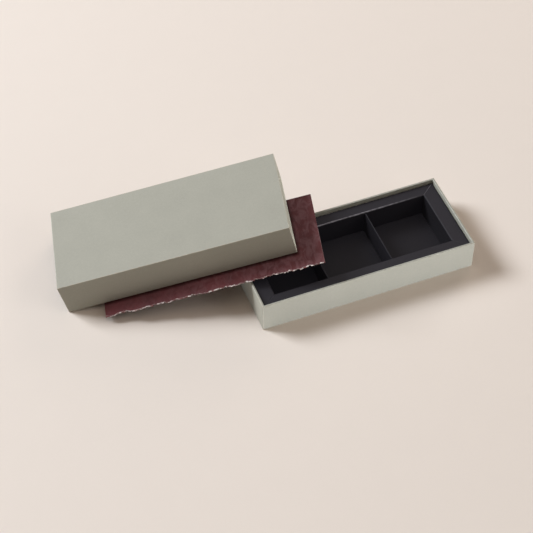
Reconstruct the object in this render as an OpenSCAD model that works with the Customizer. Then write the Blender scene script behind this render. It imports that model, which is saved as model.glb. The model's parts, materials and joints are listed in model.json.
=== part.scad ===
// Rigid paper gift box with a sliding drawer: a sage sleeve open at both ends,
// a drawer that runs through it, a black card insert with three bays, and a
// loose burgundy cover sheet with one deckled edge.
//
// The box is shown apart, as it is unpacked. The drawer stands flat on the table.
// The cover sheet leans on the drawer's back left corner, and the sleeve, with one
// end on the table, leans on the sheet.
//
// Millimetres. The origin is the middle of the drawer's underside, +X runs along
// the drawer, +Y to the back and +Z up.

/* [Drawer] */
// Outside length of the drawer
drawer_length = 200; // [150:1:240]
// Outside width of the drawer
drawer_width = 85; // [70:1:110]
// Outside height of the drawer
drawer_height = 30.8; // [26:0.2:40]
// Thickness of the drawer's greyboard
drawer_board = 1.5; // [1.2:0.1:2]
// How far the wrap is turned down inside the rim
drawer_turn_in = 14; // [6:1:18]
// How far the wrap is turned under the base
drawer_turn_under = 15; // [8:1:25]
// Margin of bare turned-under wrap round the base paper
base_margin = 1; // [0.5:0.5:3]

/* [Paper] */
// Thickness of the wrapping and lining paper
paper = 0.15; // [0.1:0.05:0.25]
// Thickness of the gummed stay paper under the wrap
stay = 0.1; // [0.05:0.05:0.2]
// How far a corner stay reaches from the drawer's corner
stay_reach = 15; // [8:1:20]

/* [Insert] */
// Thickness of the insert's black card
card = 0.6; // [0.4:0.1:0.9]
// Clearance between the insert and the drawer, all round
insert_fit = 0.3; // [0.2:0.1:0.6]
// Depth of the insert's deck below the drawer's rim
deck_drop = 3.8; // [2:0.2:6]
// Width of the deck along the front and the back
side_deck = 11; // [8:0.1:14]
// Width of the deck at the two ends
end_deck = 13.8; // [10:0.1:18]
// Length of the left bay
left_bay = 49.6; // [40:0.2:55]
// Length of the right bay
right_bay = 57; // [40:0.2:60]
// Width of the glued foot inside each folded rail
rail_foot = 6; // [4:0.5:7]

/* [Dividers] */
// Thickness of a divider, two plies of card
divider = 0.9; // [0.6:0.1:1.4]
// How far a divider stops below the deck
divider_drop = 1.2; // [0.6:0.2:3]
// How far a divider's tab reaches through the rail
tab_reach = 4; // [2:0.5:6]
// Height of a tab
tab_height = 12; // [8:0.5:14]
// Height of a tab above the bottom of the bay
tab_rise = 5; // [3:0.5:6]
// Clearance round a tab in its slot, and at a divider's ends
slot_gap = 0.15; // [0.1:0.05:0.3]

/* [Cover sheet] */
// Clearance between the cover sheet and the drawer's walls, all round
sheet_fit = 0.4; // [0.2:0.1:1]
// Thickness of the burgundy face paper
face_ply = 0.2; // [0.1:0.05:0.3]
// Thickness of the white core
core_ply = 0.6; // [0.4:0.1:1]
// Thickness of the burgundy back paper
back_ply = 0.2; // [0.1:0.05:0.3]
// How far the torn core shows past both papers at the front
deckle = 0.6; // [0.2:0.1:1.5]

/* [Sleeve] */
// How far the sleeve runs past the closed drawer at each end
sleeve_margin = 3; // [0:0.5:6]
// Thickness of the sleeve's board
sleeve_board = 1; // [0.8:0.1:1.6]
// Clearance between the drawer and each side of the sleeve
side_play = 0.7; // [0.3:0.1:1.5]
// Free height above the closed drawer
height_play = 0.4; // [0.3:0.1:1.5]
// How far the wrap is turned in at each mouth
sleeve_turn_in = 12; // [6:1:20]
// How far an edge tape reaches from the sleeve's long edge
tape_reach = 8; // [5:0.5:12]

/* [Resting pose] */
// Distance of the sleeve's foot to the left of the drawer's back left corner
foot_left = 140.6; // [120:0.2:160]
// Distance of the sleeve's foot behind that corner
foot_back = 38.5; // [30:0.5:44]
// Turn of the sleeve about the vertical, in degrees
sleeve_turn = -12.6; // [-18:0.1:-8]
// Distance from the sleeve's foot up to the cover sheet's left end
sheet_start = 32.5; // [20:0.5:45]
// How far the cover sheet's left end lies in front of the sleeve's middle
sheet_forward = 20.2; // [10:0.2:25]
// Turn of the cover sheet under the sleeve, in degrees
sheet_turn = -0.8; // [-2:0.1:2]
// Gap between the sleeve's foot and the table
foot_gap = 0.2; // [0.1:0.1:0.5]
// Gap between the drawer's corner and the cover sheet
corner_gap = 0.2; // [0.1:0.1:0.5]
// Gap between the cover sheet and the sleeve
sheet_gap = 0.1; // [0.1:0.1:0.5]

/* [Hidden] */

sage = "#aeab9f";
greyboard = "#8f8a80";
stay_paper = "#b59c78";
black_card = "#2c2a2f";
burgundy = "#552f34";
white_core = "#e6dcd8";

// Cuts run this far past the material, so that no skin is left.
past = 1;

// Drawer walls, from the outside in: wrap, stay, board, turned-in wrap
skin = paper + stay;
drawer_wall = skin + drawer_board + paper;
room_x = drawer_length - 2 * drawer_wall;
room_y = drawer_width - 2 * drawer_wall;
base_z = 2 * paper;
floor_z = base_z + drawer_board;
board_top = drawer_height - paper;

// Insert: outside, opening and heights
insert_x = room_x - 2 * insert_fit;
insert_y = room_y - 2 * insert_fit;
open_x = insert_x - 2 * end_deck;
open_y = insert_y - 2 * side_deck;
insert_z = floor_z + paper;
bay_z = insert_z + card;
deck_z = drawer_height - deck_drop;
rail_h = deck_z - bay_z;
divider_h = rail_h - divider_drop;
left_divider_x = -open_x / 2 + left_bay + divider / 2;
right_divider_x = open_x / 2 - right_bay - divider / 2;

// Cover sheet, sized to lie inside the drawer's rim on the deck
sheet_x = room_x - 2 * sheet_fit;
sheet_y = room_y - 2 * sheet_fit;
sheet_ply = back_ply + core_ply + face_ply;

// Sleeve, sized round the drawer
sleeve_wall = skin + sleeve_board + paper;
tube_y = drawer_width + 2 * side_play;
tube_z = drawer_height + height_play;
sleeve_x = drawer_length + 2 * sleeve_margin;
sleeve_y = tube_y + 2 * sleeve_wall;
sleeve_z = tube_z + 2 * sleeve_wall;

// Slope of the sleeve: its underside passes over the drawer's back left corner
// with the cover sheet and both gaps between them.
stack = corner_gap + sheet_ply + sheet_gap;
foot_run = foot_left * cos(sleeve_turn) - foot_back * sin(sleeve_turn);
rise = drawer_height - foot_gap;
slope = asin(stack / norm([foot_run, rise])) + atan2(rise, foot_run);

// ---------------------------------------------------------------- shapes

// A block centred in plan, with its underside at z.
module slab(x, y, z, h) {
    translate([-x / 2, -y / 2, z]) cube([x, y, h]);
}

// An upright rectangular ring: x by y outside, its wall t thick.
module ring(x, y, t, z, h) {
    difference() {
        slab(x, y, z, h);
        slab(x - 2 * t, y - 2 * t, z - past, h + 2 * past);
    }
}

// A rectangular tube lying along X from x0: its outside is y by z, its wall t thick.
module tube(x0, length, y, z, t) {
    translate([x0, 0, 0])
        difference() {
            translate([0, -y / 2, -z / 2]) cube([length, y, z]);
            translate([-past, -y / 2 + t, -z / 2 + t])
                cube([length + 2 * past, y - 2 * t, z - 2 * t]);
        }
}

// Places its children in the sleeve's own frame: the foot at X 0, the underside
// at Z 0, and the long axis up the slope along X.
module leaning() {
    translate([-drawer_length / 2 - foot_left, drawer_width / 2 + foot_back, foot_gap])
        rotate([0, 0, sleeve_turn])
            rotate([0, -slope, 0])
                children();
}

// ---------------------------------------------------------------- drawer

module drawer_base_board() {
    inset = skin + drawer_board;
    color(greyboard)
        slab(drawer_length - 2 * inset, drawer_width - 2 * inset, base_z, drawer_board);
}

// A long wall of the drawer, the one at the front.
module long_wall() {
    translate([0, -drawer_width / 2 + skin + drawer_board / 2, 0])
        slab(drawer_length - 2 * skin, drawer_board, base_z, board_top - base_z);
}

// An end wall of the drawer, the one on the right, between the long walls.
module end_wall() {
    translate([drawer_length / 2 - skin - drawer_board / 2, 0, 0])
        slab(drawer_board, drawer_width - 2 * (skin + drawer_board), base_z,
             board_top - base_z);
}

module drawer_front_board() {
    color(greyboard) long_wall();
}

module drawer_back_board() {
    color(greyboard) mirror([0, 1, 0]) long_wall();
}

module drawer_right_board() {
    color(greyboard) end_wall();
}

module drawer_left_board() {
    color(greyboard) mirror([1, 0, 0]) end_wall();
}

// Gummed paper stays folded round the four upright corners, under the wrap.
module drawer_corner_stays() {
    x = drawer_length - 2 * paper;
    y = drawer_width - 2 * paper;
    color(stay_paper)
        difference() {
            ring(x, y, stay, base_z, board_top - base_z);
            slab(x - 2 * stay_reach, y + past, base_z - past, board_top + past);
            slab(x + past, y - 2 * stay_reach, base_z - past, board_top + past);
        }
}

// One sheet: turned under the base, up the walls, over the rim and down inside.
module drawer_wrap() {
    color(sage)
        union() {
            ring(drawer_length, drawer_width, drawer_turn_under, paper, paper);
            ring(drawer_length, drawer_width, paper, paper, drawer_height - paper);
            ring(drawer_length, drawer_width, drawer_wall, board_top, paper);
            ring(room_x + 2 * paper, room_y + 2 * paper, paper,
                 drawer_height - drawer_turn_in, drawer_turn_in);
        }
}

module drawer_base_paper() {
    color(sage)
        slab(drawer_length - 2 * base_margin, drawer_width - 2 * base_margin, 0, paper);
}

module drawer_floor_liner() {
    color(sage) slab(room_x, room_y, floor_z, paper);
}

// ---------------------------------------------------------------- insert

module insert_base_card() {
    color(black_card) slab(insert_x, insert_y, insert_z, card);
}

// A folded card channel at the front of a frame that is out_x by out_y outside
// and in_x by in_y inside. Both its ends are cut on the mitre. From the outside
// in it has an outer skirt, a deck, an inner skirt and a foot glued to the base.
module rail(out_x, out_y, in_x, in_y) {
    intersection() {
        translate([0, 0, bay_z])
            linear_extrude(rail_h)
                polygon([[-out_x / 2, -out_y / 2], [out_x / 2, -out_y / 2],
                         [in_x / 2, -in_y / 2], [-in_x / 2, -in_y / 2]]);
        union() {
            translate([-out_x / 2, -out_y / 2, bay_z])
                cube([out_x, card, rail_h]);
            translate([-out_x / 2, -out_y / 2, deck_z - card])
                cube([out_x, (out_y - in_y) / 2, card]);
            translate([-out_x / 2, -in_y / 2 - card, bay_z])
                cube([out_x, card, rail_h]);
            translate([-out_x / 2, -in_y / 2 - rail_foot, bay_z])
                cube([out_x, rail_foot, card]);
        }
    }
}

// A long rail with a slot in its inner skirt for each divider's tab.
module long_rail() {
    difference() {
        rail(insert_x, insert_y, open_x, open_y);
        for (x = [left_divider_x, right_divider_x])
            translate([x - divider / 2 - slot_gap, -open_y / 2 - card - past,
                       bay_z + tab_rise - slot_gap])
                cube([divider + 2 * slot_gap, card + 2 * past, tab_height + 2 * slot_gap]);
    }
}

module insert_front_rail() {
    color(black_card) long_rail();
}

module insert_back_rail() {
    color(black_card) mirror([0, 1, 0]) long_rail();
}

module insert_right_rail() {
    color(black_card) rotate([0, 0, 90]) rail(insert_y, insert_x, open_y, open_x);
}

module insert_left_rail() {
    color(black_card) rotate([0, 0, -90]) rail(insert_y, insert_x, open_y, open_x);
}

// An upright card partition with a tab at each end, standing on the base card.
module partition(x) {
    span = open_y - 2 * slot_gap;
    translate([x, 0, 0]) {
        slab(divider, span, bay_z, divider_h);
        slab(divider, open_y + 2 * (card + tab_reach), bay_z + tab_rise, tab_height);
    }
}

module divider_left() {
    color(black_card) partition(left_divider_x);
}

module divider_right() {
    color(black_card) partition(right_divider_x);
}

// ----------------------------------------------------------- cover sheet

// One ply of the cover sheet, z0 above its underside and cut short by trim at
// the front.
module ply(z0, thickness, trim) {
    leaning()
        translate([sheet_start, -sheet_forward, -sheet_gap - sheet_ply + z0])
            rotate([0, 0, sheet_turn])
                translate([0, -sheet_y / 2 + trim, 0])
                    cube([sheet_x, sheet_y - trim, thickness]);
}

module cover_sheet_back() {
    color(burgundy) ply(0, back_ply, deckle);
}

module cover_sheet_core() {
    color(white_core) ply(back_ply, core_ply, 0);
}

module cover_sheet_face() {
    color(burgundy) ply(back_ply + core_ply, face_ply, deckle);
}

// ---------------------------------------------------------------- sleeve

// A flat board of the sleeve, paper short of both mouths: y0 and z0 are its
// front edge and its underside in the sleeve's frame.
module sleeve_panel(y0, width, z0, height) {
    leaning()
        translate([paper, y0, z0])
            cube([sleeve_x - 2 * paper, width, height]);
}

module sleeve_top_board() {
    color(greyboard)
        sleeve_panel(-sleeve_y / 2 + skin, sleeve_y - 2 * skin,
                     sleeve_z - skin - sleeve_board, sleeve_board);
}

module sleeve_bottom_board() {
    color(greyboard)
        sleeve_panel(-sleeve_y / 2 + skin, sleeve_y - 2 * skin, skin, sleeve_board);
}

module sleeve_front_board() {
    color(greyboard)
        sleeve_panel(-sleeve_y / 2 + skin, sleeve_board,
                     skin + sleeve_board, sleeve_z - 2 * (skin + sleeve_board));
}

module sleeve_back_board() {
    color(greyboard)
        sleeve_panel(sleeve_y / 2 - skin - sleeve_board, sleeve_board,
                     skin + sleeve_board, sleeve_z - 2 * (skin + sleeve_board));
}

// Places a tube's middle at the middle of the sleeve's height.
module along_sleeve() {
    leaning() translate([0, 0, sleeve_z / 2]) children();
}

// Stay paper folded along the four long edges, under the wrap.
module sleeve_edge_tapes() {
    y = sleeve_y - 2 * paper;
    z = sleeve_z - 2 * paper;
    x = sleeve_x - 2 * paper;
    color(stay_paper)
        along_sleeve()
            difference() {
                tube(paper, x, y, z, stay);
                translate([0, -y / 2 + tape_reach, -z / 2 - past])
                    cube([sleeve_x, y - 2 * tape_reach, z + 2 * past]);
                translate([0, -y / 2 - past, -z / 2 + tape_reach])
                    cube([sleeve_x, y + 2 * past, z - 2 * tape_reach]);
            }
}

// The outer paper, turned over the board at both mouths and glued down inside.
module sleeve_wrap() {
    color(sage)
        along_sleeve()
            union() {
                tube(0, sleeve_x, sleeve_y, sleeve_z, paper);
                for (x = [0, sleeve_x - paper])
                    tube(x, paper, sleeve_y, sleeve_z, sleeve_wall);
                for (x = [0, sleeve_x - sleeve_turn_in])
                    tube(x, sleeve_turn_in, tube_y + 2 * paper, tube_z + 2 * paper, paper);
            }
}

// The lining paper between the turned-in ends of the wrap.
module sleeve_liner() {
    color(sage)
        along_sleeve()
            tube(sleeve_turn_in, sleeve_x - 2 * sleeve_turn_in,
                 tube_y + 2 * paper, tube_z + 2 * paper, paper);
}

drawer_base_board();
drawer_front_board();
drawer_back_board();
drawer_left_board();
drawer_right_board();
drawer_corner_stays();
drawer_wrap();
drawer_base_paper();
drawer_floor_liner();
insert_base_card();
insert_front_rail();
insert_back_rail();
insert_left_rail();
insert_right_rail();
divider_left();
divider_right();
cover_sheet_back();
cover_sheet_core();
cover_sheet_face();
sleeve_top_board();
sleeve_bottom_board();
sleeve_front_board();
sleeve_back_board();
sleeve_edge_tapes();
sleeve_wrap();
sleeve_liner();
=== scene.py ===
# A slim rigid paper gift box, shown apart: the sleeve leans on the cover sheet, and
# the sheet on the corner of the drawer, whose black insert has three open bays.

import json
import math

import bmesh
import bpy
from mathutils import Matrix, Vector, noise

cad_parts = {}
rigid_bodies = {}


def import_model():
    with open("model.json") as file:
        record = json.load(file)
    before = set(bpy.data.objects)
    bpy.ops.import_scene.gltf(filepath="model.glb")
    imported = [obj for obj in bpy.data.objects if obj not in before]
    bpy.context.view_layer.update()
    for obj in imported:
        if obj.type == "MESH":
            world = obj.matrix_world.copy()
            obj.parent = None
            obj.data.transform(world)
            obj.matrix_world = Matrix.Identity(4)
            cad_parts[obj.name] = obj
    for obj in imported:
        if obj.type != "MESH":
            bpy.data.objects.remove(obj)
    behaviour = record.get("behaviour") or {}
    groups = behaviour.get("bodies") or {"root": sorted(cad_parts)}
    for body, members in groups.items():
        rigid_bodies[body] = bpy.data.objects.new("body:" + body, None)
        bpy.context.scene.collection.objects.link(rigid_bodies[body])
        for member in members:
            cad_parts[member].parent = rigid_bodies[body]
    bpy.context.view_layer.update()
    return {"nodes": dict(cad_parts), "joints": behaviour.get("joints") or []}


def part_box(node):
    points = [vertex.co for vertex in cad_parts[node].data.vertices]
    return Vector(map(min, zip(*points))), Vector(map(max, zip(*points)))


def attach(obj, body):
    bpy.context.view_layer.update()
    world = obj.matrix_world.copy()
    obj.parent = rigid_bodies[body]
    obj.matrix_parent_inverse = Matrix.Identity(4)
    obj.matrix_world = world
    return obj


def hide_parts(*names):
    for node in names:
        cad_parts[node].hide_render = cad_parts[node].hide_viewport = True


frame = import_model()

# ---------------------------------------------------------------- camera
# A long lens about 1.4 m away looks down at about 50 degrees, from in front of the
# drawer and a little to its left.
look_at = Vector((-0.07098, 0.02364, 0))
camera_distance = 1.41138
camera_elevation = math.radians(49.52)
camera_turn = math.radians(-21.19)
camera_roll = math.radians(-0.2)
sensor_width_mm = 36
focal_length_mm = 106.74

camera = bpy.data.objects.new("camera", bpy.data.cameras.new("camera"))
bpy.context.scene.collection.objects.link(camera)
camera.data.sensor_width = sensor_width_mm
camera.data.lens = focal_length_mm
facing = (
    Matrix.Rotation(camera_turn, 4, "Z")
    @ Matrix.Rotation(math.pi / 2 - camera_elevation, 4, "X")
    @ Matrix.Rotation(camera_roll, 4, "Z")
)
camera.matrix_world = (
    Matrix.Translation(look_at) @ facing @ Matrix.Translation((0, 0, camera_distance))
)
bpy.context.scene.camera = camera
bpy.context.scene.view_settings.view_transform = "Standard"

# -------------------------------------------------------- greyboard and stays
# The walls of the drawer and the sleeve are solid greyboard, dense recycled pulp
# cut square. Strips of brown gummed paper tape them together under the wrap.
MM = 0.001
FLOAT = "NodeSocketFloat"
COLOUR = "NodeSocketColor"
VECTOR = "NodeSocketVector"


def srgb(red, green, blue):
    """A colour written as 0 to 255, as a linear colour with alpha."""
    shares = [level / 255 for level in (red, green, blue)]
    linear = [s / 12.92 if s <= 0.04045 else ((s + 0.055) / 1.055) ** 2.4 for s in shares]
    return (*linear, 1)


def node(tree, kind, inputs=None, **settings):
    """A node with its settings, its inputs fed by sockets or set to plain values."""
    made = tree.nodes.new(kind)
    for name, value in settings.items():
        setattr(made, name, value)
    for name, value in (inputs or {}).items():
        if isinstance(value, bpy.types.NodeSocket):
            tree.links.new(value, made.inputs[name])
        else:
            made.inputs[name].default_value = value
    return made


def arithmetic(tree, operation, first, second):
    """The result of a Math node."""
    return node(tree, "ShaderNodeMath", {0: first, 1: second}, operation=operation).outputs[0]


def shaded(tree, colour, share):
    """A colour made lighter or darker by a share."""
    inputs = {0: colour, "Scale": share}
    return node(tree, "ShaderNodeVectorMath", inputs, operation="SCALE").outputs[0]


def mottle(tree, place, **inputs):
    """A noise field, which lies round its middle of 0.5."""
    return node(tree, "ShaderNodeTexNoise", {"Vector": place, **inputs}).outputs["Fac"]


def object_place(tree):
    """Where a point lies on its piece, in metres."""
    return node(tree, "ShaderNodeTexCoord").outputs["Object"]


def new_group(name, inputs, outputs):
    """An empty node group with its sockets, and the two nodes that hold them."""
    group = bpy.data.node_groups.new(name, "ShaderNodeTree")
    for label, kind in inputs:
        group.interface.new_socket(label, in_out="INPUT", socket_type=kind)
    for label, kind in outputs:
        group.interface.new_socket(label, in_out="OUTPUT", socket_type=kind)
    return group, group.nodes.new("NodeGroupInput"), group.nodes.new("NodeGroupOutput")


def new_material(name, roughness, specular):
    """A material and its Principled shader."""
    material = bpy.data.materials.new(name)
    material.use_nodes = True
    shader = material.node_tree.nodes["Principled BSDF"]
    shader.inputs["Roughness"].default_value = roughness
    shader.inputs["Specular IOR Level"].default_value = specular
    return material, shader


# Pulp: soft clouds a few centimetres across, and fibres of about a millimetre and finer.
pulp, given, result = new_group(
    "pulp",
    [("Place", VECTOR), ("Colour", COLOUR), ("Clouds", FLOAT), ("Fibres", FLOAT), ("Fineness", FLOAT)],
    [("Colour", COLOUR), ("Height", FLOAT)],
)
clouds = mottle(pulp, given.outputs["Place"], Scale=38.0, Detail=4.0, Roughness=0.55)
fibres = mottle(
    pulp, given.outputs["Place"], Scale=given.outputs["Fineness"], Detail=5.0, Roughness=0.68,
    Distortion=0.6,
)
middle = 0.5
cloud_shade, fibre_shade = [
    arithmetic(pulp, "MULTIPLY", arithmetic(pulp, "SUBTRACT", field, middle), given.outputs[strength])
    for field, strength in ((clouds, "Clouds"), (fibres, "Fibres"))
]
shade = arithmetic(pulp, "ADD", arithmetic(pulp, "ADD", cloud_shade, fibre_shade), 1.0)
pulp.links.new(shaded(pulp, given.outputs["Colour"], shade), result.inputs["Colour"])
pulp.links.new(fibres, result.inputs["Height"])


def pulp_material(name, colour, clouds, fibres, fineness, relief, roughness, specular):
    """A pulp surface: its colour, how cloudy and fibrous it is, and its relief in metres."""
    material, shader = new_material(name, roughness, specular)
    tree = material.node_tree
    surface = node(
        tree, "ShaderNodeGroup",
        {"Place": object_place(tree), "Colour": colour, "Clouds": clouds, "Fibres": fibres,
         "Fineness": fineness},
        node_tree=pulp,
    )
    bump = node(
        tree, "ShaderNodeBump",
        {"Height": surface.outputs["Height"], "Strength": 1.0, "Distance": relief},
    )
    tree.links.new(surface.outputs["Colour"], shader.inputs["Base Color"])
    tree.links.new(bump.outputs["Normal"], shader.inputs["Normal"])
    return material


greyboard = pulp_material(
    "greyboard", srgb(143, 138, 128), clouds=0.2, fibres=0.5, fineness=700.0,
    relief=0.05 * MM, roughness=0.85, specular=0.25,
)
gummed_paper = pulp_material(
    "gummed_paper", srgb(181, 156, 120), clouds=0.15, fibres=0.35, fineness=1100.0,
    relief=0.02 * MM, roughness=0.6, specular=0.3,
)


def dress(names, material):
    """Gives these CAD nodes a finished material in place of their plain one."""
    for name in names:
        frame["nodes"][name].material_slots[0].material = material


dress([name for name in frame["nodes"] if name.endswith("_board")], greyboard)
dress(["drawer_corner_stays", "sleeve_edge_tapes"], gummed_paper)

# ------------------------------------------------------------ drawer wrap
# One sheet of sage paper is glued up the four walls, over the rim and 14 mm down
# inside, and its lower edge is turned under the base. It rounds every board edge.
paper = 0.15 * MM
wrap_fold = 0.6 * MM
drawer_turn_in = 14 * MM
turn_under = 15 * MM
sage = srgb(168, 165, 152)
# The paler sage of the folds is partly wear and partly painted highlight.
sage_wear_and_highlight = srgb(208, 206, 194)
sage_finish = {
    "clouds": 0.13, "fibres": 0.26, "fineness": 700.0, "relief": 0.018 * MM, "roughness": 0.72,
    "specular": 0.3,
}


def ranged(tree, value, low, high, to_low=0.0, to_high=1.0):
    """A value taken from one range to another, and held at its ends."""
    inputs = {"From Min": low, "From Max": high, "To Min": to_low, "To Max": to_high}
    return node(tree, "ShaderNodeMapRange", {"Value": value, **inputs}).outputs[0]


def mixed(tree, factor, first, second):
    """Two colours mixed. The Mix node's colours are its inputs 6 and 7 and its output 2."""
    inputs = {0: factor, 6: first, 7: second}
    return node(tree, "ShaderNodeMix", inputs, data_type="RGBA").outputs[2]


def marked(tree, name):
    """How strongly the mesh carries this mark."""
    return node(tree, "ShaderNodeAttribute", attribute_name=name).outputs["Fac"]


def lay_over(material, layer):
    """Feeds the material's colour through a layer, a function of the tree and the colour."""
    tree = material.node_tree
    base = tree.nodes["Principled BSDF"].inputs["Base Color"]
    tree.links.new(layer(tree, base.links[0].from_socket), base)


# Folds and cuts painted paler where the mesh marks them: partly rubbed by hands and glue, partly painted
# highlight where they catch the light.
rubbing, given, result = new_group(
    "rubbing", [("Place", VECTOR), ("Colour", COLOUR), ("Worn", COLOUR), ("Mark", FLOAT)],
    [("Colour", COLOUR)],
)
patches = mottle(rubbing, given.outputs["Place"], Scale=260.0, Detail=3.0)
patchy = ranged(rubbing, patches, 0.3, 0.65, to_low=0.35)
rubbed_and_lit_share = arithmetic(rubbing, "MULTIPLY", given.outputs["Mark"], patchy)
rubbing.links.new(
    mixed(rubbing, rubbed_and_lit_share, given.outputs["Colour"], given.outputs["Worn"]),
    result.inputs["Colour"],
)


def wear_and_highlight_material(name, colour, worn, **settings):
    """A pulp surface whose folds and cuts, marked on the mesh, are painted paler, for wear and for
    painted highlight.
    """
    material = pulp_material(name, colour, **settings)

    def paint_rub_and_highlight(tree, fresh):
        inputs = {
            "Place": object_place(tree), "Colour": fresh, "Worn": worn,
            "Mark": marked(tree, "worn"),
        }
        return node(tree, "ShaderNodeGroup", inputs, node_tree=rubbing).outputs["Colour"]

    lay_over(material, paint_rub_and_highlight)
    return material


sage_paper = wear_and_highlight_material("sage_paper", sage, sage_wear_and_highlight, **sage_finish)


def boxed(low, high):
    """A mesh box between two corners."""
    made = bmesh.new()
    place = Matrix.Translation((low + high) / 2) @ Matrix.Diagonal((*(high - low), 1))
    bmesh.ops.create_cube(made, size=1, matrix=place)
    return made


def face_towards(made, direction):
    """The face that lies furthest that way."""
    return max(made.faces, key=lambda face: face.calc_center_median().dot(Vector(direction)))


def turn_in(made, face, wall, depth):
    """Takes the sheet over the rim at this face and down inside, and opens it there."""
    inward = -face.normal * depth
    bmesh.ops.inset_region(made, faces=[face], thickness=wall, use_even_offset=True)
    flap = bmesh.ops.extrude_discrete_faces(made, faces=[face])["faces"][0]
    bmesh.ops.translate(made, vec=inward, verts=flap.verts)
    bmesh.ops.delete(made, geom=[flap], context="FACES_ONLY")


def sharp_folds(made):
    """The edges where the sheet turns by more than a radian."""
    return [edge for edge in made.edges if edge.is_manifold and edge.calc_face_angle() > 1]


def round_folds(made, radius, folds, wear_and_highlight_strength=1.0):
    """Rounds these folds, and marks how much paler their crests are painted, for wear and for painted
    highlight.
    """
    rounded = bmesh.ops.bevel(
        made, geom=folds, offset=radius, offset_type="OFFSET", affect="EDGES",
        segments=4, profile=0.5, material=-1,
    )
    worn = made.verts.layers.float.get("worn") or made.verts.layers.float.new("worn")
    arcs = {face for face in rounded["faces"] if face.is_valid}
    for corner in {corner for face in arcs for corner in face.verts}:
        if all(face in arcs for face in corner.link_faces):
            corner[worn] = wear_and_highlight_strength


def finish(made, name, body, material, replaced, thickness=None):
    """Turns the mesh into a named piece that stands for CAD nodes and rides their body."""
    mesh = bpy.data.meshes.new(name)
    made.to_mesh(mesh)
    made.free()
    mesh.shade_smooth()
    mesh.materials.append(material)
    piece = bpy.data.objects.new(name, mesh)
    bpy.context.scene.collection.objects.link(piece)
    if thickness:
        shell = piece.modifiers.new("thickness", "SOLIDIFY")
        shell.thickness = thickness
        shell.offset = -1
    flat_first = piece.modifiers.new("flat_first", "WEIGHTED_NORMAL")
    flat_first.keep_sharp = True
    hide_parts(*replaced)
    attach(piece, body)
    return piece


wrap_low, wrap_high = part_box("drawer_wrap")
drawer_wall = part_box("drawer_floor_liner")[0].x - wrap_low.x

wrap = boxed(wrap_low, wrap_high)
rim, underside = face_towards(wrap, (0, 0, 1)), face_towards(wrap, (0, 0, -1))
turn_in(wrap, rim, drawer_wall, drawer_turn_in)
bmesh.ops.inset_region(wrap, faces=[underside], thickness=turn_under, use_even_offset=True)
bmesh.ops.delete(wrap, geom=[underside], context="FACES_ONLY")
# Every fold of the wrap is painted paler, partly as wear and partly as painted highlight along the
# edges.
round_folds(wrap, wrap_fold, sharp_folds(wrap))
finish(wrap, "drawer_paper", "drawer", sage_paper, ["drawer_wrap"], paper)

# ------------------------------------------------- drawer end flaps and linings
# The long sides' paper goes round each corner first, and a flap on the end covers
# it. A trimmed sheet closes the underside, and another lines the floor.
flap_margin = 1.4 * MM
flap_thickness = 0.06 * MM

sage_flat = pulp_material("sage_flat", sage, **sage_finish)

for name, side in (("left", -1), ("right", 1)):
    left, right = sorted((wrap_high.x * side, wrap_high.x * side + side * flap_thickness))
    flap = boxed(
        Vector((left, wrap_low.y + flap_margin, wrap_low.z + wrap_fold)),
        Vector((right, wrap_high.y - flap_margin, wrap_high.z - wrap_fold)),
    )
    finish(flap, f"drawer_{name}_flap", "drawer", sage_flat, [])

dress(["drawer_base_paper", "drawer_floor_liner"], sage_flat)

# ------------------------------------------------------------- card insert
# A tray of black card lies loose in the drawer: a flat base, and four folded
# channels with mitred ends glued on it, whose tops make the deck round the bays.
card = 0.6 * MM
deck_fold = 1.1 * MM
foot_fold = 0.7 * MM
rail_foot = 6 * MM
mitre_gap = 0.05 * MM
highlight_strip = 0.35 * MM
slot_gap = 0.15 * MM
tab_rise = 5 * MM
tab_height = 12 * MM
# Points that are closer than this lie on the same fold or skirt.
near = 0.15 * MM
# The skirts inside the bays and the outer skirts get painted shade: where it is full, they keep this
# share of the deck's lightness.
painted_shade_share = 0.62

insert_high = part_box("insert_base_card")[1]
bay_floor = insert_high.z
deck_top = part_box("insert_front_rail")[1].z
half_x, half_y = insert_high.x, insert_high.y
open_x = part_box("insert_right_rail")[0].x
open_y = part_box("insert_back_rail")[0].y
dividers = {name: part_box(name) for name in ("divider_left", "divider_right")}


def paint_skirt_shade(tree, colour):
    """The card's colour with painted shade, darker where the mesh marks it."""
    loss = arithmetic(tree, "MULTIPLY", marked(tree, "deep"), 1 - painted_shade_share)
    return shaded(tree, colour, arithmetic(tree, "SUBTRACT", 1.0, loss))


# The paler second colour is a painted highlight on the card's folds, mitres and partition tops.
black_card = wear_and_highlight_material(
    "black_card", srgb(24, 22, 27), srgb(128, 124, 128), clouds=0.35, fibres=0.6, fineness=800.0,
    relief=0.02 * MM, roughness=0.65, specular=0.25,
)
# The card is painted darker on its skirts and partition sides: painted shade in the bays and gaps.
lay_over(black_card, paint_skirt_shade)


def cut_across(made, at, normal, **settings):
    """Cuts every face that crosses this plane."""
    everything = made.verts[:] + made.edges[:] + made.faces[:]
    return bmesh.ops.bisect_plane(made, geom=everything, plane_co=at, plane_no=normal, **settings)


def front_channel(length, half_out, half_in):
    """A strip swept along the front: outer skirt, deck, inner skirt and foot."""
    made = bmesh.new()
    outline = [
        (-half_out, bay_floor), (-half_out, deck_top), (-half_in, deck_top),
        (-half_in, bay_floor), (-half_in - rail_foot, bay_floor),
    ]
    lefts, rights = [
        [made.verts.new((end, y, z)) for y, z in outline] for end in (-length / 2, length / 2)
    ]
    for left, right, next_left, next_right in zip(lefts, rights, lefts[1:], rights[1:]):
        made.faces.new((left, right, next_right, next_left))
    made.normal_update()
    return made


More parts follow.
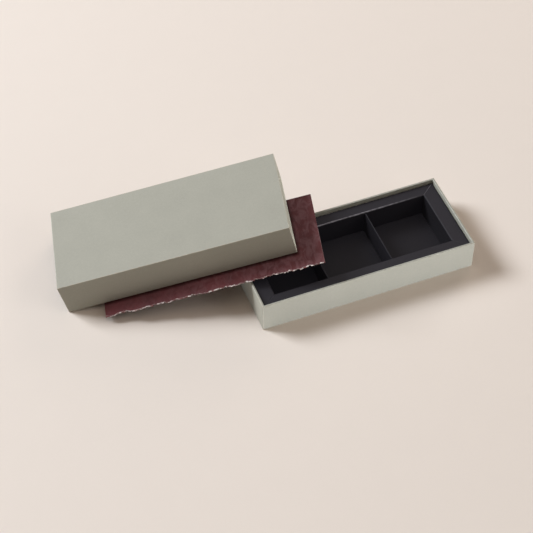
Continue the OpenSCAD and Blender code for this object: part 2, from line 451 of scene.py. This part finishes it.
def cut_slots(made, half_in, slots):
    """Cuts a slot for each partition's tab through the inner skirt."""
    cut_across(made, (0, 0, bay_floor + tab_rise - slot_gap), (0, 0, 1))
    cut_across(made, (0, 0, bay_floor + tab_rise + tab_height + slot_gap), (0, 0, 1))
    for start, end in slots:
        cut_across(made, (start - slot_gap, 0, 0), (1, 0, 0))
        cut_across(made, (end + slot_gap, 0, 0), (1, 0, 0))
        middles = {face: face.calc_center_median() for face in made.faces}
        slot = [
            face for face, middle in middles.items()
            if abs(middle.y + half_in) < near
            and start - slot_gap < middle.x < end + slot_gap
            and tab_rise < middle.z - bay_floor < tab_rise + tab_height
        ]
        bmesh.ops.delete(made, geom=slot, context="FACES")


def edges_along(made, height, side):
    """The edges that run along the channel at this height and side."""
    return [
        edge for edge in made.edges
        if all(abs(v.co.z - height) < near and abs(v.co.y - side) < near for v in edge.verts)
    ]


def bend_folds(made, half_out, half_in, fold_highlight):
    """Rounds the channel's three folds, of which only the deck's inner one gets painted highlight."""
    round_folds(made, foot_fold, edges_along(made, bay_floor, -half_in), wear_and_highlight_strength=0)
    round_folds(made, deck_fold, edges_along(made, deck_top, -half_out), wear_and_highlight_strength=0)
    round_folds(made, deck_fold, edges_along(made, deck_top, -half_in), wear_and_highlight_strength=fold_highlight)


def mark_skirt_shade(made, half_out, half_in, inner_painted_shade):
    """Marks painted shade on the inner skirt by this share, and fully on the outer skirt."""
    deep = made.verts.layers.float.new("deep")
    mid_fold, fold_start = deck_fold / 2, deck_fold / 20
    for corner in made.verts:
        below = deck_top - corner.co.z
        if corner.co.y > -half_in - near and below > mid_fold:
            corner[deep] = inner_painted_shade
        if corner.co.y < -half_out + deck_fold and below > fold_start:
            corner[deep] = 1


def mitre_ends(made, length, opening, half_out, half_in, mitre_highlight):
    """Cuts both ends from corner to corner, and marks painted highlight on the deck at the cuts."""
    worn = made.verts.layers.float.get("worn")
    for end, wear_and_highlight_strength in zip((-1, 1), mitre_highlight):
        corner = Vector((end * length / 2, -half_out, 0))
        outward = Vector((end * (half_out - half_in), (length - opening) / 2, 0)).normalized()
        unhighlit = cut_across(made, corner - outward * (mitre_gap + highlight_strip), outward)
        mitred = cut_across(made, corner - outward * mitre_gap, outward, clear_outer=True)
        for cut, mark in ((unhighlit, 0), (mitred, wear_and_highlight_strength)):
            for part in cut["geom_cut"]:
                if isinstance(part, bmesh.types.BMVert):
                    part[worn] = mark if part.co.z > deck_top - deck_fold / 2 else 0


def order_faces(made):
    """Puts the faces in one order by their corners, as cuts and bevels leave a chance order."""
    made.verts.index_update()
    count = len(made.verts)

    def place_in_line(face):
        first, second, third = sorted(corner.index for corner in face.verts)[:3]
        return (first * count + second) * count + third

    made.faces.sort(key=place_in_line)


slots = [(low.x, high.x) for low, high in dividers.values()]
turned_slots = [(-end, -start) for start, end in slots]
# Length, length of the opening, and how far out the outer and inner skirts are.
along_x = (2 * half_x, 2 * open_x, half_y, open_y)
along_y = (2 * half_y, 2 * open_y, half_x, open_x)

# The fold and mitre values paint highlight, and the last value paints shade on the inner skirt.
for name, turn, (length, opening, half_out, half_in), cuts, fold_highlight, mitre_highlight, inner_painted_shade in (
    ("insert_front_rail", 0, along_x, slots, 0, (0.1, 0.1), 0.5),
    ("insert_back_rail", 180, along_x, turned_slots, 0.85, (1.0, 0.3), 0.1),
    ("insert_right_rail", 90, along_y, None, 0.1, (0.1, 0.3), 1),
    ("insert_left_rail", -90, along_y, None, 0.1, (0.1, 0.1), 0.3),
):
    rail = front_channel(length, half_out, half_in)
    if cuts:
        cut_slots(rail, half_in, cuts)
    bend_folds(rail, half_out, half_in, fold_highlight)
    mark_skirt_shade(rail, half_out, half_in, inner_painted_shade)
    mitre_ends(rail, length, opening, half_out, half_in, mitre_highlight)
    bmesh.ops.rotate(
        rail, cent=(0, 0, 0), matrix=Matrix.Rotation(math.radians(turn), 3, "Z"), verts=rail.verts
    )
    order_faces(rail)
    finish(rail, name.replace("insert", "card"), "insert", black_card, [name], card)

card_base = pulp_material(
    "card_base", srgb(20, 18, 22), clouds=0.35, fibres=0.6, fineness=800.0,
    relief=0.02 * MM, roughness=0.62, specular=0.2,
)
dress(["insert_base_card"], card_base)

# ---------------------------------------------------------------- dividers
# Each partition is one strip of the same card folded double over its top edge.
# A tab at each end goes through a slot in the long rail's inner skirt.
tab_reach = 4 * MM
divider_fold = 0.42 * MM
# Painted highlight along each partition's folded top.
divider_highlight = 2.6
# Painted shade on the partitions' sides, below the folded top.
divider_painted_shade = 0.2
# A face whose normal has at least this much of an axis looks along it.
squarely = 0.9

half = open_y - slot_gap
for name, (low, high) in dividers.items():
    panel = boxed(Vector((low.x, -half, low.z)), Vector((high.x, half, high.z)))
    for height in (tab_rise, tab_rise + tab_height):
        cut_across(panel, (0, 0, bay_floor + height), (0, 0, 1))
    tab_faces = [
        face for face in panel.faces
        if abs(face.normal.y) > squarely
        and tab_rise < face.calc_center_median().z - bay_floor < tab_rise + tab_height
    ]
    for tab in bmesh.ops.extrude_discrete_faces(panel, faces=tab_faces)["faces"]:
        outward = math.copysign(slot_gap + card + tab_reach, tab.calc_center_median().y)
        bmesh.ops.translate(panel, vec=(0, outward, 0), verts=tab.verts)
    top = [
        edge for edge in panel.edges
        if all(v.co.z > high.z - near for v in edge.verts) and edge.calc_length() > half
    ]
    round_folds(panel, divider_fold, top, wear_and_highlight_strength=divider_highlight)
    # Marks the painted shade on the partition's sides.
    deep = panel.verts.layers.float.new("deep")
    for corner in panel.verts:
        corner[deep] = divider_painted_shade if corner.co.z < high.z - divider_fold / 2 else 0
    finish(panel, name.replace("divider", "partition"), "insert", black_card, [name])

# -------------------------------------------------------------- cover sheet
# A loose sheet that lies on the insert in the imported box: burgundy paper on both
# faces of a white core, cut clean on three sides and torn along the fourth.
sheet_turn = math.radians(-0.8)
grid_rows = 24
torn_rows = 2
torn_step = 0.3 * MM
torn_rim = 0.5 * MM
wave_length = 6 * MM
wave_depth = 0.8 * MM
bare_length = 6 * MM
fray_length = 1.3 * MM
wave_seed = 3.0
edge_wear = 0.5

slide = next(joint for joint in frame["joints"] if joint["name"] == "sleeve_slide")
along = Vector(slide["axis"]).normalized()
across = Vector((0, 0, 1)).cross(along).normalized()
leaning = Matrix((along, across, along.cross(across))).transposed()
sheet_axes = leaning @ Matrix.Rotation(sheet_turn, 3, "Z")


def span(name, axes):
    """The lowest and highest corners of a CAD node along these axes."""
    seen = [axes.transposed() @ vertex.co for vertex in frame["nodes"][name].data.vertices]
    return (
        Vector([min(v[i] for v in seen) for i in range(3)]),
        Vector([max(v[i] for v in seen) for i in range(3)]),
    )


def burgundy_paper():
    """Burgundy paper, creased as it dried, with a painted sheen on its creases that grows towards the
    right end.
    """
    material, shader = new_material("burgundy_paper", roughness=0.5, specular=0.25)
    tree = material.node_tree
    coordinates = object_place(tree)
    place = node(
        tree, "ShaderNodeMapping",
        {"Vector": coordinates, "Rotation": sheet_axes.to_euler()}, vector_type="TEXTURE",
    ).outputs[0]
    surface = node(
        tree, "ShaderNodeGroup",
        {"Place": place, "Colour": srgb(75, 28, 30), "Clouds": 1.3, "Fibres": 0.5,
         "Fineness": 420.0},
        node_tree=pulp,
    )
    stretched = node(
        tree, "ShaderNodeVectorMath", {0: place, 1: (1.5, 0.85, 1.0)}, operation="MULTIPLY"
    ).outputs[0]
    creases = mottle(tree, stretched, Scale=118.0, Detail=3.0, Roughness=0.6, Distortion=0.75)
    left_end, right_end = (corner.x for corner in span("cover_sheet_face", sheet_axes))
    length_along = node(tree, "ShaderNodeSeparateXYZ", {0: place}).outputs["X"]
    # Painted sheen: a paler colour on the crease tops, stronger towards the right end, as if more lit
    # there.
    painted_light_towards_right = ranged(tree, length_along, left_end, right_end, to_low=0.03, to_high=0.5)
    sheen_mask = ranged(tree, creases, 0.43, 0.62)
    painted_sheen = mixed(
        tree, arithmetic(tree, "MULTIPLY", sheen_mask, painted_light_towards_right), surface.outputs["Colour"],
        srgb(116, 80, 83),
    )
    edged = node(
        tree, "ShaderNodeGroup",
        {"Place": coordinates, "Colour": painted_sheen, "Worn": srgb(216, 188, 184),
         "Mark": marked(tree, "worn")},
        node_tree=rubbing,
    )
    relief = arithmetic(
        tree, "ADD", arithmetic(tree, "MULTIPLY", creases, 6.0), surface.outputs["Height"]
    )
    bump = node(
        tree, "ShaderNodeBump", {"Height": relief, "Strength": 1.0, "Distance": 0.06 * MM}
    )
    gloss = ranged(tree, creases, 0.35, 0.65, to_low=0.58, to_high=0.44)
    tree.links.new(edged.outputs["Colour"], shader.inputs["Base Color"])
    tree.links.new(bump.outputs["Normal"], shader.inputs["Normal"])
    tree.links.new(gloss, shader.inputs["Roughness"])
    return material


def soak(tree, colour):
    """The white core's colour, where the red of the face has soaked in here and there."""
    soaked = mottle(tree, object_place(tree), Scale=330.0, Detail=3.0)
    return mixed(tree, ranged(tree, soaked, 0.45, 0.54), colour, srgb(124, 78, 76))


burgundy = burgundy_paper()
white_core = pulp_material(
    "white_core", srgb(236, 224, 219), clouds=0.1, fibres=0.5, fineness=1600.0,
    relief=0.06 * MM, roughness=0.85, specular=0.2,
)
lay_over(white_core, soak)


def ragged(x, seed, size):
    """A repeatable ragged value, mostly from -1 to 1, at a place along the torn edge."""
    evenness, spacing, octaves, reach = 0.8, 2.1, 3, 1.6
    return noise.fractal(Vector((x / size, seed, 0.5)), evenness, spacing, octaves) * reach


def ply(name, seed, creep, bared, frayed):
    """One ply: a fine grid over its CAD solid, whose front rim follows the tear."""
    low, high = span(name, sheet_axes)
    size = high - low
    made = bmesh.new()
    bmesh.ops.create_grid(
        made, x_segments=round(size.x / torn_step), y_segments=grid_rows, size=0.5,
        matrix=Matrix.Translation(((low.x + high.x) / 2, (low.y + high.y) / 2, high.z))
        @ Matrix.Diagonal((size.x, size.y, 1, 1)),
    )
    worn = made.verts.layers.float.new("worn")
    for corner in made.verts:
        x, y = corner.co.x, corner.co.y
        row = round((y - low.y) / size.y * grid_rows)
        if row < torn_rows:
            wave = wave_depth * ragged(x, wave_seed, wave_length)
            back = bared * ragged(x, seed, bare_length)
            fray = frayed * ragged(x, seed, fray_length)
            corner.co.y = low.y + row * torn_rim - creep + wave + back + fray
        lower_right = x > high.x - torn_step / 2 and y < (low.y + high.y) / 2
        corner[worn] = edge_wear if row == 0 or lower_right else 0.0
    bmesh.ops.rotate(made, cent=(0, 0, 0), matrix=sheet_axes, verts=made.verts)
    return made, size.z


for name, seed, creep, bared, frayed, material, slot_name in (
    ("cover_sheet_back", 11.0, 0.15 * MM, 0.1 * MM, 0.3 * MM, burgundy, "burgundy_paper"),
    ("cover_sheet_core", 23.0, 0.0, 0.1 * MM, 0.4 * MM, white_core, "white_core"),
    ("cover_sheet_face", 37.0, 0.25 * MM, 0.45 * MM, 0.4 * MM, burgundy, "burgundy_paper"),
):
    sheet, thickness = ply(name, seed, creep, bared, frayed)
    finish(
        sheet, name.replace("cover_sheet", "torn_sheet"), "cover_sheet", material,
        [name], thickness,
    )

# ------------------------------------------------------------------ sleeve
# Four boards taped into a tube and wrapped in one sheet of the same sage paper,
# which is turned in at both mouths. A lining covers the inside between them.
sleeve_turn_in = 12 * MM
sleeve_wall = 1.4 * MM
# The rims are the faces whose normals lean at least this much along the tube.
rim_lean = 0.7

low, high = span("sleeve_wrap", leaning)
mid_wall = Vector((0, sleeve_wall / 2, sleeve_wall / 2))
inner_low, inner_high = low + mid_wall, high - mid_wall


def turned_in(face):
    """Whether this face is on a rim or inside the tube, so that only the mouths show it."""
    middle = face.calc_center_median()
    return abs(face.normal.x) > rim_lean or (
        inner_low.y < middle.y < inner_high.y and inner_low.z < middle.z < inner_high.z
    )


tube = boxed(low, high)
mouths = [face_towards(tube, (-1, 0, 0)), face_towards(tube, (1, 0, 0))]
for mouth in mouths:
    turn_in(tube, mouth, sleeve_wall, sleeve_turn_in)
# Its folds too are painted paler, partly as wear and partly as painted highlight.
round_folds(tube, wrap_fold, sharp_folds(tube))
flaps = tube.copy()
for part, is_flap in ((tube, False), (flaps, True)):
    unwanted = [face for face in part.faces if turned_in(face) != is_flap]
    bmesh.ops.delete(part, geom=unwanted, context="FACES")
    bmesh.ops.rotate(part, cent=(0, 0, 0), matrix=leaning, verts=part.verts)
finish(tube, "sleeve_paper", "sleeve", sage_paper, ["sleeve_wrap"], paper)
turn_ins = finish(flaps, "sleeve_turn_ins", "sleeve", sage_flat, [], paper)
dress(["sleeve_liner"], sage_flat)

# ------------------------------------------------------------------- table
# A wide sheet of pale warm paper that the box stands on. It runs far past the view
# on all sides, so that no edge of it shows.
table_size = 12
table_bm = bmesh.new()
bmesh.ops.create_grid(table_bm, x_segments=1, y_segments=1, size=table_size / 2)
table_mesh = bpy.data.meshes.new("table")
table_bm.to_mesh(table_mesh)
table_bm.free()
table_paper = pulp_material(
    "table_paper", srgb(228, 218, 209), clouds=0.02, fibres=0.03, fineness=500.0,
    relief=0.01 * MM, roughness=0.9, specular=0.1,
)
table_mesh.materials.append(table_paper)
table = bpy.data.objects.new("table", table_mesh)
bpy.context.scene.collection.objects.link(table)

# ------------------------------------------------------------------ lights
# A soft key from behind and to the left, weak lamps from above and from the front
# right, and lamps kept to a few pieces, for what the pale room and table throw back.
room_glow = (0.064, 0.06, 0.052, 1)
room_seen = srgb(226, 216, 208)

world = bpy.data.worlds.new("room")
bpy.context.scene.world = world
world.use_nodes = True
room = world.node_tree
# The room lights the box dimly, but looks pale to the camera and in reflections.
rays = node(room, "ShaderNodeLightPath").outputs
seen_or_glossy = arithmetic(room, "ADD", rays["Is Camera Ray"], rays["Is Glossy Ray"])
looking = arithmetic(room, "ADD", seen_or_glossy, rays["Is Transmission Ray"])
shown = arithmetic(room, "MINIMUM", looking, 1.0)
room.links.new(mixed(room, shown, room_glow, room_seen), room.nodes["Background"].inputs["Color"])


def lamp(name, direction, distance, size, level, colour):
    """A square soft lamp that faces the drawer; level 1 renders a colour as written."""
    light = bpy.data.lights.new(name, "AREA")
    light.shape = "SQUARE"
    light.size = size
    light.energy = level * (math.pi * distance) ** 2
    light.color = colour
    lit = bpy.data.objects.new(name, light)
    bpy.context.scene.collection.objects.link(lit)
    towards = Vector(direction).normalized()
    lit.matrix_world = (
        Matrix.Translation(towards * distance) @ towards.to_track_quat("Z", "Y").to_matrix().to_4x4()
    )
    lit.visible_camera = False
    return lit


def group_of(name, pieces):
    """A collection that a lamp's light or its shadows are kept to."""
    made = bpy.data.collections.new(name)
    for piece in pieces:
        made.objects.link(piece)
    return made


def keep_to(lit, receivers, blockers=None):
    """Keeps a lamp's light to some pieces, and its shadows to those that others cast."""
    lit.light_linking.receiver_collection = receivers
    if blockers:
        lit.light_linking.blocker_collection = blockers


def pieces_named(*starts):
    """Every piece whose name starts in one of these ways."""
    return [piece for piece in bpy.data.objects if piece.name.startswith(starts)]


lamp(
    "key_lamp", (-0.974, 0.76, 1.0), distance=4, size=1.5, level=1.10, colour=(0.935, 0.985, 1.045)
)
top_lamp = lamp(
    "top_lamp", (0.20, 0.12, 1.0), distance=2.5, size=1.8, level=0.085, colour=(1.16, 0.97, 0.82)
)
front_lamp = lamp(
    "front_lamp", (0.60, -0.60, 0.50), distance=3, size=1.8, level=0.17, colour=(1.04, 1.0, 0.95)
)

# The room above the table and to its right adds a little more light to it.
table_fill = lamp(
    "table_fill", (-0.20, -0.25, 1.0), distance=3, size=1.8, level=0.085, colour=(1.16, 0.97, 0.82)
)
right_fill = lamp(
    "right_fill", (0.72, 0.60, 0.45), distance=2.5, size=1.2, level=0.18, colour=(1.12, 0.97, 0.85)
)
table_top = group_of("table_top", [table])
keep_to(table_fill, table_top)
keep_to(right_fill, table_top)

# The table throws light up at the drawer's outer walls.
table_glow = lamp(
    "table_glow", (0.30, -0.95, -0.29), distance=0.6, size=0.5, level=0.79, colour=(0.93, 1.0, 1.09)
)
side_glow = lamp(
    "side_glow", (-0.90, -0.40, -0.20), distance=3, size=0.8, level=0.12, colour=(0.94, 1.0, 1.08)
)
walls = group_of(
    "drawer_walls", [bpy.data.objects[f"drawer_{name}"] for name in ("paper", "left_flap", "right_flap")]
)
drawer_pieces = group_of("drawer_pieces", pieces_named("drawer_"))
keep_to(table_glow, walls, drawer_pieces)
keep_to(side_glow, walls, drawer_pieces)

# The cover sheet's sheen comes from a small lamp above, in place of the wide ones.
sheet_lamp = lamp(
    "sheet_lamp", (-0.25, 0.13, 0.96), distance=3, size=0.25, level=0.43, colour=(1.0, 1.0, 1.0)
)
plies = pieces_named("torn_sheet")
keep_to(sheet_lamp, group_of("sheet_plies", plies))
for lit, name in ((front_lamp, "lit_from_the_front"), (top_lamp, "lit_from_the_top")):
    spared = group_of(name, plies)
    for entry in spared.collection_objects:
        entry.light_linking.link_state = "EXCLUDE"
    keep_to(lit, spared)

# Nothing shades the card from this glow: its one blocker, the table, lies under the bays.
bay_glow = lamp(
    "bay_glow", (-0.2, -0.3, 1.0), distance=3, size=2.5, level=0.55, colour=(1.0, 1.0, 1.05)
)
cards = group_of("insert_cards", pieces_named("card_", "insert_", "partition"))
keep_to(bay_glow, cards, group_of("out_of_the_way", [table]))

# Light from the front right reaches the rims and the paper inside the sleeve's mouths.
mouth_lamp = lamp(
    "mouth_lamp", (0.30, -0.66, 0.69), distance=3, size=0.8, level=1.25, colour=(1.0, 1.0, 1.0)
)
keep_to(mouth_lamp, group_of("sleeve_mouths", [turn_ins]))
